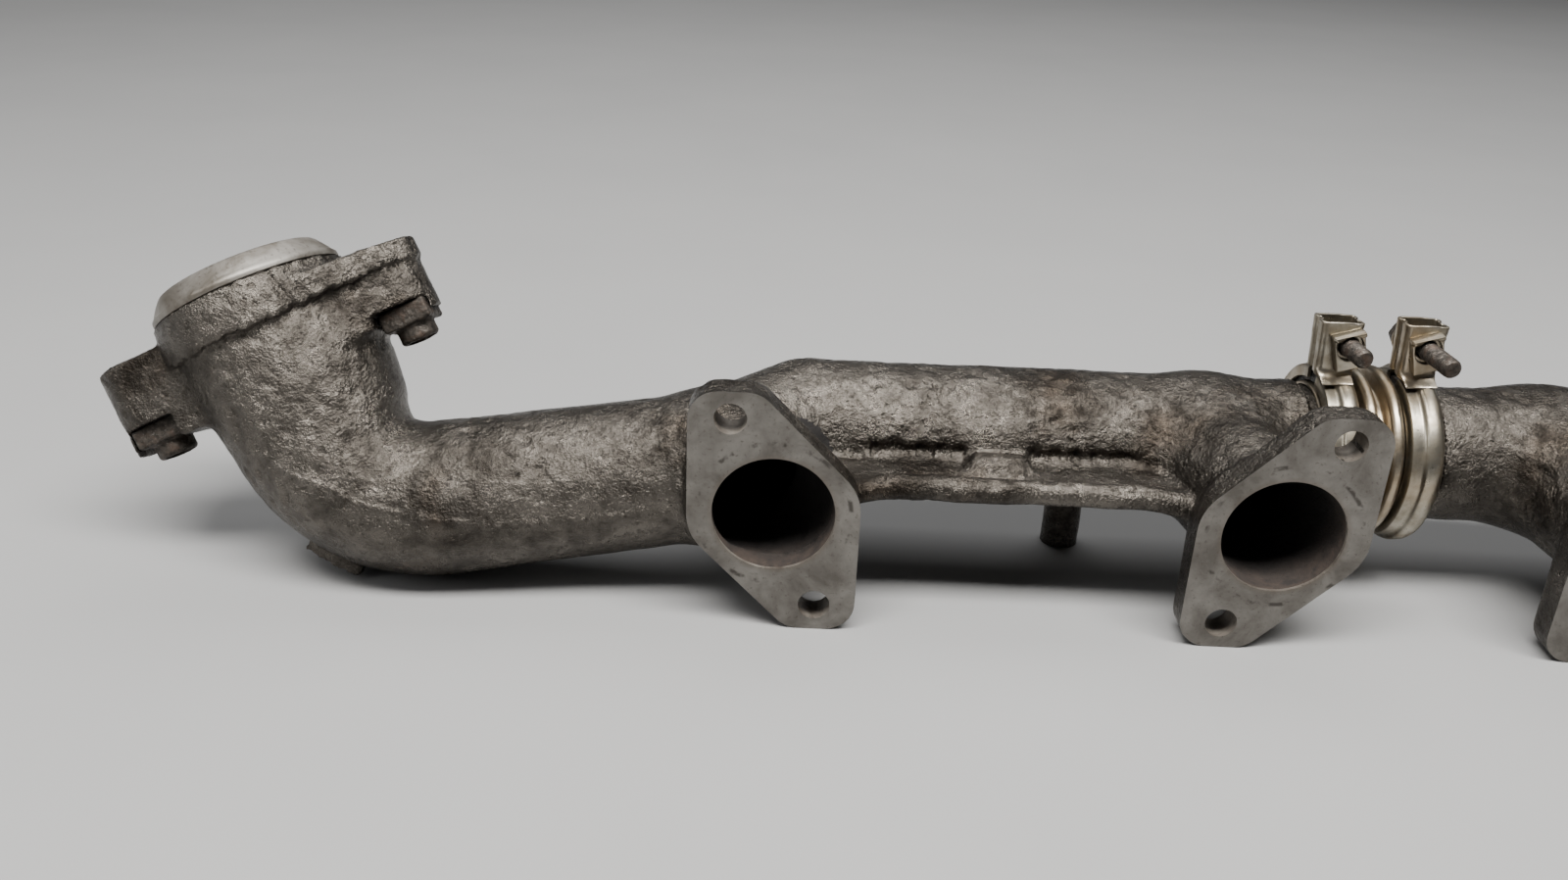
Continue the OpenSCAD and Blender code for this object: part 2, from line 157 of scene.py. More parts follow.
def cell_corners(f):
    """The eight corners of a grid cell, each with its weight at the fractions f across the cell."""
    for c in range(8):
        corner = corner_offset(c)
        w = np.ones(len(f), f.dtype)
        for k in range(3):
            w = w * (f[:, k] if corner[k] else 1 - f[:, k])
        yield corner, w


def value_noise(p, scale, octaves=1, offset=0.0):
    """Smooth random values from -1 to 1 at points p, with features about scale millimetres wide."""
    total = np.zeros(len(p), np.float32)
    weight, size = 1.0, scale
    for _ in range(octaves):
        q = p / size + offset
        cell = np.floor(q).astype(int)
        f = (q - cell).astype(np.float32)
        f = f * f * (3 - 2 * f)
        value = np.zeros(len(p), np.float32)
        for corner, w in cell_corners(f):
            i, j, k = ((cell[:, a] + corner[a]) % LATTICE_SIZE for a in range(3))
            value += w * LATTICE[i, j, k]
        total += weight * value
        weight *= 0.5
        size *= 0.5
    return total


# ---------- Distance fields ----------

FAR = 20.0
EVERYWHERE = ((-1e3,) * 3, (1e3,) * 3)


class Field:
    """Signed distances on a regular grid. Each shape is worked out only between low and high."""

    def __init__(self, low, high, step):
        self.low = np.array(low, float)
        self.step = step
        counts = np.ceil((np.array(high, float) - self.low) / step).astype(int) + 1
        self.axes = [(self.low[i] + step * np.arange(counts[i])).astype(np.float32) for i in range(3)]
        self.values = np.full(tuple(counts), FAR, np.float32)

    def window(self, low, high):
        """Slices of the grid between two corners, and the coordinates there."""
        cut = []
        for i in range(3):
            a, b = np.searchsorted(self.axes[i], [low[i], high[i]])
            cut.append(slice(max(a - 1, 0), b + 1))
        x = self.axes[0][cut[0]][:, None, None]
        y = self.axes[1][cut[1]][None, :, None]
        z = self.axes[2][cut[2]][None, None, :]
        return tuple(cut), x, y, z

    def add(self, shape, low, high, blend=0.0):
        cut, x, y, z = self.window(low, high)
        self.values[cut] = soft_min(self.values[cut], shape(x, y, z), blend)

    def remove(self, shape, low, high, blend=0.0):
        cut, x, y, z = self.window(low, high)
        self.values[cut] = -soft_min(-self.values[cut], shape(x, y, z), blend)

    def sample(self, p):
        """Distances at free points."""
        q = (p - self.low) / self.step
        top = np.array(self.values.shape) - 2
        cell = np.clip(np.floor(q).astype(int), 0, top)
        f = np.clip(q - cell, 0, 1)
        out = np.zeros(len(p))
        for corner, w in cell_corners(f):
            out += w * self.values[tuple((cell + corner).T)]
        return out


def soft_min(a, b, k):
    """The lower of two distances, with a fillet about k wide where they meet."""
    if not k:
        return np.minimum(a, b)
    h = np.maximum(k - np.abs(a - b), 0) / k
    return np.minimum(a, b) - h * h * k * 0.25


def overlap(a, b):
    """Distance to where two regions overlap, rounded outside their corner."""
    return np.sqrt(np.maximum(a, 0) ** 2 + np.maximum(b, 0) ** 2) + np.minimum(np.maximum(a, b), 0)


def plate(flat, depth, low, high, edge=0.6):
    """Plate with a given flat outline between two depths, with rounded edges."""
    return overlap(flat + edge, np.maximum(low - depth, depth - high) + edge) - edge


def local(matrix, x, y, z):
    """Coordinates in a placed frame."""
    m = np.linalg.inv(matrix)
    return [m[i, 0] * x + m[i, 1] * y + m[i, 2] * z + m[i, 3] for i in range(3)]


def capsule(a, b, ra, rb):
    """Round-ended bar from a to b, whose radius goes from ra to rb."""
    a, b = np.array(a, float), np.array(b, float)
    span = b - a

    def shape(x, y, z):
        t = ((x - a[0]) * span[0] + (y - a[1]) * span[1] + (z - a[2]) * span[2]) / (span @ span)
        t = np.clip(t, 0, 1)
        d = np.sqrt(sum((c - a[i] - t * span[i]) ** 2 for i, c in enumerate((x, y, z))))
        return d - (ra + (rb - ra) * t)
    return shape


def bar_x(r, from_x, to_x, edge=0.8):
    """Round bar along the log pipe's axis with rounded ends."""
    def shape(x, y, z):
        return plate(np.sqrt((y - LOG_Y) ** 2 + (z - LOG_Z) ** 2) - r, x, from_x, to_x, edge)
    return shape


def box(matrix, low, high, edge):
    """Rounded box in a placed frame."""
    low, high = np.array(low, float), np.array(high, float)
    mid, half = (low + high) / 2, (high - low) / 2 - edge

    def shape(x, y, z):
        q = [np.abs(c - mid[i]) - half[i] for i, c in enumerate(local(matrix, x, y, z))]
        outside = np.sqrt(sum(np.maximum(c, 0) ** 2 for c in q))
        return outside + np.minimum(np.maximum(np.maximum(q[0], q[1]), q[2]), 0) - edge
    return shape


def bar(matrix, r, low, high, edge=0.0):
    """Round bar along a placed frame's Z with rounded ends."""
    def shape(x, y, z):
        lx, ly, lz = local(matrix, x, y, z)
        return plate(np.sqrt(lx ** 2 + ly ** 2) - r, lz, low, high, edge)
    return shape


# ---------- Meshing ----------

EDGES = [(a, a | (1 << k)) for a in range(8) for k in range(3) if not a & (1 << k)]


def mesh_field(field, cuts=()):
    """Vertices and quads over a field's surface, and the grid cell of each vertex.

    Each cut is an exact region to take away: its low and high corners, and its distance, which is
    positive inside.
    """
    v = field.values
    for low, high, cut in cuts:
        part, x, y, z = field.window(low, high)
        v[part] = np.maximum(v[part], cut(x, y, z))
    inside = v < 0
    total = np.zeros([n - 1 for n in v.shape], np.int8)
    for c in range(8):
        total += inside[tuple(slice(o, o + n - 1) for o, n in zip(corner_offset(c), v.shape))]
    active = (total > 0) & (total < 8)
    cells = np.argwhere(active)
    index = np.full(active.shape, -1, np.int64)
    index[active] = np.arange(len(cells))
    corner = [v[tuple((cells + corner_offset(c)).T)] for c in range(8)]
    acc = np.zeros((len(cells), 3))
    count = np.zeros(len(cells))
    for a, b in EDGES:
        va, vb = corner[a], corner[b]
        hit = (va < 0) != (vb < 0)
        t = va[hit] / (va[hit] - vb[hit])
        oa, ob = corner_offset(a), corner_offset(b)
        acc[hit] += oa + t[:, None] * (ob - oa)
        count[hit] += 1
    verts = field.low + field.step * (cells + acc / count[:, None])
    quads = []
    for axis in range(3):
        crossing = np.argwhere(np.diff(inside, axis=axis))
        sides = [(axis + 1) % 3, (axis + 2) % 3]
        place = crossing[:, sides]
        crossing = crossing[((place > 0) & (place < np.array(v.shape)[sides] - 1)).all(1)]
        du, dw = np.eye(3, dtype=int)[sides]
        ring = [index[tuple((crossing - s).T)] for s in (du + dw, dw, 0 * du, du)]
        quad = np.stack(ring, 1)
        flip = ~inside[tuple(crossing.T)]
        quad[flip] = quad[flip][:, ::-1]
        quads.append(quad)
    return verts, np.concatenate(quads), cells


def outward(distance, p, h):
    """Unit directions away from a surface, from its distance as a function of points."""
    g = np.stack([distance(p + h * e) - distance(p - h * e) for e in np.eye(3)], 1) / (2 * h)
    return g / np.maximum(np.linalg.norm(g, axis=1, keepdims=True), 1e-6)


def settle_crisp(body, verts, cells, cuts):
    """Moves vertices onto the body and the exact cuts, or onto the edge where two of them meet."""
    h = body.step
    base = body.low + h * cells
    corners = [base + h * corner_offset(c) for c in range(8)]
    body_signs = np.stack([body.sample(c) < 0 for c in corners], 1)
    changes = [body_signs.any(1) & ~body_signs.all(1)]
    surfaces = [(body.sample, h / 2)]
    for low, high, cut in cuts:
        near = ((base > low - 2 * h) & (base < high + h)).all(1)
        signs = np.stack([cut(*c[near].T) > 0 for c in corners], 1)
        changed = np.zeros(len(verts), bool)
        changed[near] = signs.any(1) & ~signs.all(1)
        changes.append(changed)
        surfaces.append((lambda p, cut=cut: cut(*p.T), 0.01))
    for _ in range(6):
        for change, (distance, reach) in zip(changes, surfaces):
            p = verts[change]
            d = distance(p)
            near = np.abs(d) < 0.9 * h
            verts[change] = p - np.where(near, d, 0)[:, None] * outward(distance, p, reach)
    return verts, changes


def store(name, verts, quads, materials, slots=None, smooth_angle=35.0):
    """A mesh object in metres from vertices in millimetres."""
    mesh = bpy.data.meshes.new(name)
    mesh.vertices.add(len(verts))
    mesh.vertices.foreach_set("co", (np.asarray(verts) * MM).astype(np.float32).ravel())
    flat = [i for q in quads for i in q] if isinstance(quads, list) else quads.ravel()
    sizes = [len(q) for q in quads] if isinstance(quads, list) else np.full(len(quads), quads.shape[1])
    starts = np.concatenate([[0], np.cumsum(sizes)[:-1]])
    mesh.loops.add(len(flat))
    mesh.loops.foreach_set("vertex_index", np.array(flat, np.int32))
    mesh.polygons.add(len(sizes))
    mesh.polygons.foreach_set("loop_start", starts.astype(np.int32))
    if slots is not None:
        mesh.polygons.foreach_set("material_index", slots.astype(np.int32))
    mesh.update(calc_edges=True)
    mesh.validate()
    for material in materials:
        mesh.materials.append(material)
    mesh.shade_smooth()
    mesh.set_sharp_from_angle(angle=math.radians(smooth_angle))
    obj = bpy.data.objects.new(name, mesh)
    bpy.context.scene.collection.objects.link(obj)
    return obj


# ---------- Materials ----------

def new_material(name):
    material = bpy.data.materials.new(name)
    material.use_nodes = True
    tree = material.node_tree
    shader = next(n for n in tree.nodes if n.type == "BSDF_PRINCIPLED")
    place = tree.nodes.new("ShaderNodeTexCoord")
    scaled = tree.nodes.new("ShaderNodeVectorMath")
    scaled.operation = "SCALE"
    scaled.inputs["Scale"].default_value = 1000.0
    tree.links.new(place.outputs["Object"], scaled.inputs[0])
    return material, shader, scaled.outputs[0]


def feed(value, socket):
    """Links another node's output to a socket, or sets the socket to a number or colour."""
    if isinstance(value, bpy.types.NodeSocket):
        value.id_data.links.new(value, socket)
    else:
        socket.default_value = value


def add_node(kind, inputs, **settings):
    """A node in the tree of its first input, which another node's output feeds."""
    node = next(iter(inputs.values())).id_data.nodes.new(kind)
    for name, value in settings.items():
        setattr(node, name, value)
    for name, value in inputs.items():
        feed(value, node.inputs[name])
    return node


def noise(place, size_mm, detail=3.0, roughness=0.55, distortion=0.0):
    return add_node("ShaderNodeTexNoise", {
        "Vector": place, "Scale": 1.0 / size_mm, "Detail": detail, "Roughness": roughness,
        "Distortion": distortion}).outputs["Fac"]


def remap(value, low, high, to_low=0.0, to_high=1.0):
    return add_node("ShaderNodeMapRange", {
        "Value": value, "From Min": low, "From Max": high, "To Min": to_low,
        "To Max": to_high}).outputs["Result"]


def mix_colour(factor, a, b):
    a, b = ((*c, 1.0) if isinstance(c, tuple) else c for c in (a, b))
    return add_node("ShaderNodeMix", {0: factor, 6: a, 7: b}, data_type="RGBA").outputs[2]


def maths(operation, a, b=0.0):
    return add_node("ShaderNodeMath", {0: a, 1: b}, operation=operation).outputs[0]


def bump(height, strength, distance_mm):
    return add_node("ShaderNodeBump", {
        "Height": height, "Strength": strength, "Distance": distance_mm * MM}).outputs["Normal"]


def attribute(shader, name):
    node = shader.id_data.nodes.new("ShaderNodeAttribute")
    node.attribute_name = name
    return node.outputs["Fac"]


def surface(shader, colour, roughness, metallic, normal):
    for name, value in (("Base Color", colour), ("Roughness", roughness), ("Metallic", metallic),
                        ("Normal", normal)):
        feed(value, shader.inputs[name])


def cast_material(name, dark, light, metallic):
    """Blasted casting skin: sparkling grain from the relief, small pits and broad smoky patches."""
    material, shader, place = new_material(name)
    grain = noise(place, 2.6, 5.0, 0.72)
    fine = noise(place, 0.8, 2.0, 0.6)
    patch = noise(place, 9.0, 5.0, 0.7, 0.3)
    broad = noise(place, 60.0, 4.0, 0.6)
    tone = maths("ADD", remap(patch, 0.36, 0.64, 0.0, 0.6),
                 remap(broad, 0.38, 0.62, -0.1, 0.5))
    base = mix_colour(tone, dark, light)
    rust = maths("MULTIPLY", remap(broad, 0.47, 0.34),
                 remap(patch, 0.42, 0.6, 0.1, 0.6))
    base = mix_colour(rust, base, (0.07, 0.048, 0.031))
    pits = remap(noise(place, 2.4, 3.0, 0.6), 0.36, 0.44, 1.0, 0.0)
    base = mix_colour(maths("MULTIPLY", pits, 0.4), base, (0.03, 0.025, 0.02))
    height = maths("SUBTRACT", grain, maths("MULTIPLY", pits, 0.2))
    normal = bump(fine, 1.0, 0.36)
    feed(bump(height, 1.0, 0.8), normal.node.inputs["Normal"])
    surface(shader, base, remap(patch, 0.35, 0.65, 0.38, 0.22), metallic, normal)
    return material


def machined_material(name, light, dark, ring=True):
    """Ground face: smooth light metal with faint scratches and pits, and soot marks round the ports."""
    material, shader, place = new_material(name)
    cloud = noise(place, 14.0, 5.0, 0.62, 0.3)
    speck = noise(place, 1.3, 3.0, 0.6)
    base = mix_colour(remap(cloud, 0.36, 0.64), dark, light)
    base = mix_colour(remap(speck, 0.58, 0.7, 0.0, 0.55), base, (0.05, 0.038, 0.03))
    if ring:
        radius = attribute(shader, "port_radius")
        near = maths("ABSOLUTE", maths("SUBTRACT", radius, SOOT_RING_R))
        band = remap(near, 0.35, 0.9, 1.0, 0.0)
        broken = remap(noise(place, 7.0, 3.0, 0.6), 0.52, 0.6)
        mark = maths("MULTIPLY", band, broken)
        base = mix_colour(maths("MULTIPLY", mark, 0.8), base, (0.025, 0.02, 0.016))
        lip = remap(radius, PORT_R, PORT_R + 1.6, 0.35, 0.0)
        base = mix_colour(lip, base, (0.1, 0.075, 0.055))
    stretched = add_node("ShaderNodeVectorMath", {0: place, 1: (0.12, 1.0, 1.0)}, operation="MULTIPLY")
    scratches = noise(stretched.outputs[0], 0.5, 2.0, 0.5)
    height = maths("ADD", scratches, maths("MULTIPLY", speck, 1.4))
    surface(shader, base, remap(cloud, 0.3, 0.7, 0.36, 0.52), 0.6,
            bump(height, 0.22, 0.12))
    return material


def soot_and_shade_material(name):
    """Inside of the gas passages: dull brown rust and soot, darkening to near black with depth behind the
    flange face, which is painted shade.
    """
    material, shader, place = new_material(name)
    patch = noise(place, 5.0, 4.0, 0.65)
    depth = attribute(shader, "depth")
    rust = mix_colour(remap(patch, 0.35, 0.65), (0.014, 0.01, 0.008), (0.045, 0.031, 0.023))
    # Painted shade: the colour fades to near black with depth behind the flange face, where shade falls
    # inside the passages
    base = mix_colour(remap(depth, 2.0, 15.0), rust, (0.006, 0.0045, 0.004))
    grain = noise(place, 0.9, 3.0, 0.6)
    surface(shader, base, 0.85, 0.0, bump(grain, 0.7, 0.4))
    return material


def sheet_material(name, light, dark, roughness=0.3):
    """Formed stainless sheet: satin, with smudges, dark specks and a warm heat tint."""
    material, shader, place = new_material(name)
    smudge = noise(place, 6.0, 4.0, 0.6)
    tint = noise(place, 18.0, 2.0, 0.5)
    base = mix_colour(remap(smudge, 0.35, 0.65), dark, light)
    base = mix_colour(remap(tint, 0.45, 0.7, 0.0, 0.45), base, (0.36, 0.27, 0.17))
    speck = noise(place, 0.9, 3.0, 0.6)
    base = mix_colour(remap(speck, 0.64, 0.74, 0.0, 0.5), base, (0.1, 0.075, 0.05))
    surface(shader, base, remap(smudge, 0.3, 0.7, roughness + 0.16, roughness - 0.04), 1.0,
            bump(maths("ADD", speck, smudge), 0.25, 0.12))
    return material


def rust_material(name, dark, light, metallic):
    """Scaly, rusted steel with small lighter worn spots."""
    material, shader, place = new_material(name)
    scale = noise(place, 1.6, 4.0, 0.65)
    patch = noise(place, 4.0, 3.0, 0.6)
    base = mix_colour(remap(scale, 0.38, 0.66), dark, light)
    base = mix_colour(remap(patch, 0.5, 0.7, 0.0, 0.6), base, (0.07, 0.042, 0.028))
    worn = remap(noise(place, 0.6, 3.0, 0.6), 0.62, 0.72, 0.0, 0.5)
    base = mix_colour(worn, base, (0.24, 0.225, 0.205))
    surface(shader, base, remap(scale, 0.35, 0.65, 0.7, 0.42), metallic,
            bump(scale, 0.9, 0.4))
    return material


CAST = cast_material("cast_skin", (0.022, 0.019, 0.016), (0.145, 0.131, 0.114), 1.0)
FACE = machined_material("machined_face", (0.18, 0.17, 0.154), (0.085, 0.077, 0.067))
BORED = machined_material("bored_hole", (0.3, 0.275, 0.24), (0.1, 0.08, 0.064), ring=False)
SOOT_AND_SHADE = soot_and_shade_material("passage_soot_and_depth_shade")
SEAT = machined_material("seat_metal", (0.25, 0.237, 0.215), (0.1, 0.085, 0.066), ring=False)
SHEET = sheet_material("clamp_sheet", (0.42, 0.39, 0.325), (0.24, 0.21, 0.16))
SLEEVE = sheet_material("bellows_sheet", (0.38, 0.335, 0.265), (0.19, 0.155, 0.11), 0.32)
RUST = rust_material("rusty_steel", (0.02, 0.0165, 0.013), (0.068, 0.057, 0.047), 0.55)
SEAL = rust_material("seal_mesh", (0.02,) * 3, (0.08,) * 3, 0.2)


# ---------- Outline helpers ----------

def rounded_corners(corners, radii, steps=10):
    """Points round a convex outline whose corners are arcs."""
    points = []
    n = len(corners)
    for i, r in enumerate(radii):
        before, corner, after = (np.array(corners[k % n], float) for k in (i - 1, i, i + 1))
        u = (before - corner) / np.linalg.norm(before - corner)
        v = (after - corner) / np.linalg.norm(after - corner)
        half = math.acos(u @ v) / 2
        centre = corner + (u + v) / np.linalg.norm(u + v) * r / math.sin(half)
        start, stop = corner + u * r / math.tan(half), corner + v * r / math.tan(half)
        a0 = math.atan2(*(start - centre)[::-1])
        span = (math.atan2(*(stop - centre)[::-1]) - a0 + 3 * math.pi) % (2 * math.pi) - math.pi
        points += [centre + r * np.array([math.cos(a), math.sin(a)])
                   for a in (a0 + span * k / steps for k in range(steps + 1))]
    return np.array(points)


def outline_distance(points):
    """Signed distance to a closed outline, as a function of two coordinates."""
    nxt = np.roll(points, -1, 0)

    def distance(u, v):
        best, sign = None, None
        for a, b in zip(points, nxt):
            e = b - a
            wu, wv = u - a[0], v - a[1]
            t = np.clip((wu * e[0] + wv * e[1]) / max(e @ e, 1e-9), 0, 1)
            d = (wu - t * e[0]) ** 2 + (wv - t * e[1]) ** 2
            best = d if best is None else np.minimum(best, d)
            above, below = v >= a[1], v < b[1]
            cross = e[0] * wv - e[1] * wu
            flip = (above & below & (cross > 0)) | (~above & ~below & (cross < 0))
            s = np.where(flip, -1.0, 1.0)
            sign = s if sign is None else sign * s
        return sign * np.sqrt(best)
    return distance


def flange_shape(port):
    """Diagonal head flange; its front is left long, and head_cuts() trims it to the engine's face."""
    w, h, side = FLANGE_W, FLANGE_H, PORT_SIDE[port]
    corners = [[w, h], [4.8, h], [-w, 7.5], [-w, -h], [-4.8, -h], [w, -7.5]]
    points = rounded_corners(corners, [9, 9, 16, 9, 9, 16]) * [side, 1]
    flat = outline_distance(points + [PORT_X[port], 0])
    return lambda x, y, z: plate(flat(x, z), y, -6.0, FLANGE_T, 1.3)


# ---------- Outlet path ----------

BEND_END = OUTLET_RUN + BEND_R * math.radians(BEND_ANGLE)


def path_coordinates(x, y, z):
    """Distance to the outlet path, place along it, and offsets towards the bend's inside and side."""
    lx, ly, lz = local(BEND_FRAME, x, y, z)
    a = math.radians(BEND_ANGLE)
    along = np.clip(lz, -OUTLET_RUN, 0)
    best = np.sqrt(lx ** 2 + ly ** 2 + (lz - along) ** 2)
    found = [best, along + OUTLET_RUN, lx + 0 * best]
    angle = np.clip(np.arctan2(lz, BEND_R - lx), 0, a)
    bx, bz = lx - BEND_R * (1 - np.cos(angle)), lz - BEND_R * np.sin(angle)
    ex, ez = lx - BEND_R * (1 - math.cos(a)), lz - BEND_R * math.sin(a)
    t = np.clip(ex * math.sin(a) + ez * math.cos(a), 0, NECK)
    nx, nz = ex - t * math.sin(a), ez - t * math.cos(a)
    for dx, dz, place, inward, reached in (
            (bx, bz, OUTLET_RUN + BEND_R * angle, bx * np.cos(angle) - bz * np.sin(angle), lz > 0),
            (nx, nz, BEND_END + t, ex * math.cos(a) - ez * math.sin(a), True)):
        d = np.sqrt(dx ** 2 + ly ** 2 + dz ** 2)
        nearer = (d < found[0]) & reached
        found = [np.where(nearer, new, old) for new, old in zip((d, place, inward), found)]
    return *found, ly + 0 * best


def outlet_skin(x, y, z):
    """Outside of the outlet pipe, bend and neck, with the parting flash on its front."""
    d, s, inward, side = path_coordinates(x, y, z)
    r = np.interp(s, [0, 60, OUTLET_RUN, 106, BEND_END, 145, 158, 170, 178],
                  [23.2, 23.7, 24.2, 24.2, 25.5, 26.8, 27.2, 26.8, 26.8])
    towards = np.maximum(inward / np.maximum(d, 1e-3), 0)
    r = r + towards ** 2 * np.interp(s, [104, 124, 145, 158, 166], [0, 4.6, 5.4, 3.5, 0.5])
    flash = np.interp(s, [20, 48, 70, 81, 92, 113, 124, 132], [-10.4, -9, -7.6, -4, -1.0, -1.5, -6.3, -10])
    ragged = 0.6 + 0.25 * np.sin(1.7 * s) + 0.2 * np.sin(4.1 * s + 1)
    front = (side < 0) * np.interp(s, [16, 30, 125, 138], [0, 1, 1, 0])
    r = r + front * ragged * np.exp(-((inward - flash) / 1.0) ** 2)
    return np.maximum(d - r, local(SEAT_FRAME, x, y, z)[2] + 4.0)


def outlet_tab(x, y, z):
    """Ragged stub of a broken-off runner under the bend."""
    _, s, inward, side = path_coordinates(x, y, z)
    ragged = 28.1 + 0.35 * np.sin(1.9 * s) + 0.25 * np.sin(4.3 * s)
    return np.maximum(np.maximum(np.abs(side) - 2.2, np.abs(s - 107.4) - 5.6), -inward - ragged)


def outlet_bore(x, y, z):
    d, s, _, _ = path_coordinates(x, y, z)
    return d - np.interp(s, [0, OUTLET_RUN, BEND_END, 178], [18.8, 19.8, 20.4, NECK_BORE_R])


def ear_plan(lx, ly, body_r, ear_r):
    """Flat distance to the round body that runs straight out into the upper ear."""
    lean = (body_r - ear_r) / BOLT_R
    level = math.sqrt(1 - lean ** 2)
    side = np.abs(ly)
    place = -lean * side + level * lx
    near = np.sqrt(lx ** 2 + ly ** 2) - body_r
    far = np.sqrt((lx - BOLT_R) ** 2 + ly ** 2) - ear_r
    flank = level * side + lean * lx - body_r
    return np.where(place < 0, near, np.where(place > level * BOLT_R, far, flank))


def outlet_collar(x, y, z):
    """Outlet flange's band: round body and upper half of the upper ear, with a ragged lower edge."""
    lx, ly, lz = local(SEAT_FRAME, x, y, z)
    angle = np.arctan2(ly, lx)
    ragged = 0.35 * np.sin(7 * angle + 1) + 0.3 * np.sin(19 * angle) + 0.25 * np.sin(43 * angle + 2)
    groove = 1.3 * np.exp(-((lx - 15.5 + 0.25 * lz) / 1.0) ** 2)
    groove = (groove + 0.7 * np.exp(-((lx - 20.0 + 0.2 * lz) / 0.9) ** 2)) * (ly < 0)
    low = -12.8 + ragged + 0.9 * np.clip((lx - 26) / 8, 0, 1)
    body = plate(np.sqrt(lx ** 2 + ly ** 2) - OUTLET_BODY_R + groove, lz, low, 0.0)
    ear = plate(ear_plan(lx, ly, OUTLET_BODY_R, EAR_R) + groove, lz, low, EAR_TOP - 0.2 - 0.012 * lx, 1.0)
    return soft_min(body, ear, 2.2)


def ear_foot(x, y, z):
    """The trimmed-back lower half of the upper ear, which holds the nut's slot."""
    lx, ly, lz = local(SEAT_FRAME, x, y, z)
    return plate(ear_plan(lx, ly, 24.0, EAR_R - 1.3), lz, EAR_TOP - EAR_T, -8.0, 0.8)


def lower_ear(x, y, z):
    """The lower ear, a thick tongue below the band with a hollowed top."""
    lx, ly, lz = local(SEAT_FRAME, x, y, z)
    half = EAR_R - 0.4 + 1.5 * np.clip((BOLT_R + lx) / 18.0, 0, 1)
    flat = np.sqrt(np.maximum(-lx - BOLT_R, 0) ** 2 + ly ** 2) - half
    return plate(np.maximum(flat, lx + 10.0), lz, EAR_TOP - LOWER_EAR_T, EAR_TOP - 0.3, 0.9)


def nut_slot(end):
    x, low = end * BOLT_R, EAR_TOP - LOWER_EAR_T - 6
    return box(SEAT_FRAME, [x - 8.0, -30, low], [x + 8.0, 30, EAR_TOP - EAR_T + 4.0], 0.6)


# ---------- Castings ----------

def runner(port, r):
    x = PORT_X[port]
    return capsule([x, 8, 0], [x - RUNNER_LEAN, LOG_Y, LOG_Z], r, r - 0.3)


def hole_cut(centre, direction, r, low, high):
    """Exact round hole: positive inside it."""
    aim = Vector(direction).to_track_quat("Z", "Y").to_matrix().to_4x4()
    m = np.array(Matrix.Translation(Vector(centre)) @ aim)

    def cut(x, y, z):
        lx, ly, lz = local(m, x, y, z)
        return np.minimum(r - np.sqrt(lx ** 2 + ly ** 2), np.minimum(lz - low, high - lz))
    reach = max(r, abs(low), abs(high)) + 2
    return np.array(centre) - reach, np.array(centre) + reach, cut


def head_cuts(ports):
    """The engine's face, and the gas port and stud holes of each flange."""
    xs = [PORT_X[p] for p in ports]
    cuts = [(np.array([min(xs) - 60, -10, -60]), np.array([max(xs) + 60, 2.5, 60]),
             lambda x, y, z: -y + 0 * x + 0 * z)]
    for p in ports:
        cuts.append(hole_cut([PORT_X[p], 0, 0], [0, 1, 0], PORT_R, -6, 8.0))
        for end in (-1, 1):
            centre = [PORT_X[p] + PORT_SIDE[p] * end * STUD[0], 0, end * STUD[1]]
            cuts.append(hole_cut(centre, [0, 1, 0], STUD_R, -6, 13.0))
    return cuts


SKIN, MACHINED, DRILLED, PASSAGE = range(4)


def casting_relief(points, normal):
    """Height of the cast skin's lumps, grain and pits, stronger on the upper front."""
    rough = np.clip(0.55 + 0.9 * value_noise(points, 22.0, 2, 9.1) + 0.35 * normal[:, 2], 0.15, 1.0)
    pits = np.clip(value_noise(points, 2.8, 1, 2.7) - 0.2, 0, 1)
    front = np.clip(0.6 - 0.9 * normal[:, 1] + 0.5 * normal[:, 2], 0.2, 1.4)
    fine = rough * front * (0.2 * value_noise(points, 2.4, 2) - 0.9 * pits)
    return fine + 0.24 * value_noise(points, 14.0, 2, 5.3)


def port_radius(points):
    """Distance to the nearest port's axis."""
    return np.min([np.hypot(points[:, 0] - x, points[:, 2]) for x in PORT_X], 0)


def casting_slots(centre, passages, cuts):
    """Which material each face takes, from where its centre is."""
    inside = np.full(len(centre), FAR)
    for shape, *_ in passages:
        inside = np.minimum(inside, shape(*centre.T))
    slots = np.where(inside < 1.0, PASSAGE, SKIN)
    for _, _, cut in cuts:
        slots[np.abs(cut(*centre.T)) < 0.03] = DRILLED
    # Known fault: this has no far limit, so it also darkens the log pipe's back behind each port
    slots[(port_radius(centre) < PORT_R + 0.3) & (centre[:, 1] > 0.8)] = PASSAGE
    slots[centre[:, 1] < 0.02] = MACHINED
    return slots


